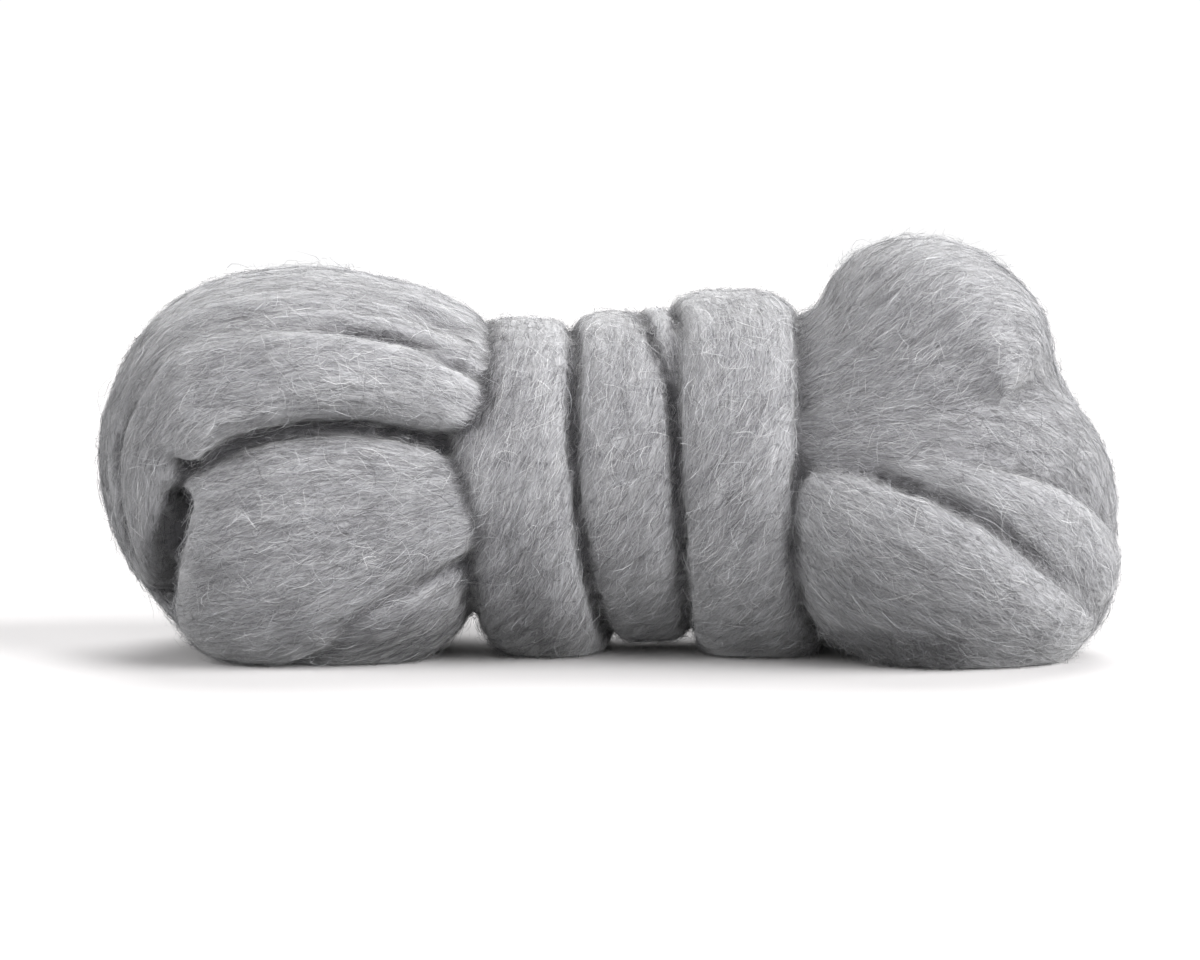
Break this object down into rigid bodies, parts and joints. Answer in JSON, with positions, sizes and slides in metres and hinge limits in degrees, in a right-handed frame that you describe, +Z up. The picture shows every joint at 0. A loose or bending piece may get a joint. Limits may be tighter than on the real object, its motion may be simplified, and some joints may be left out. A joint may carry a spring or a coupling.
{
  "type": "wool roving hank",
  "caption": "Hank of grey combed wool roving lying on its side: loops of soft untwisted rope swell into a bulb at each end and are bound round the middle by turns of the same rope.",
  "frame": {"origin": "on the surface the hank lies on, under the middle of its bounding box", "axes": "+X along the hank towards the larger bulb, -Y towards the side that shows the folds, +Z up"},
  "size_m": [0.2358, 0.0986, 0.0964],
  "materials": {
    "grey_wool": "soft, dull, combed wool fibres lying along the rope, with a fuzzy edge"
  },
  "bodies": {
    "root": {"roving_hank": "grey_wool"}
  },
  "joints": []
}
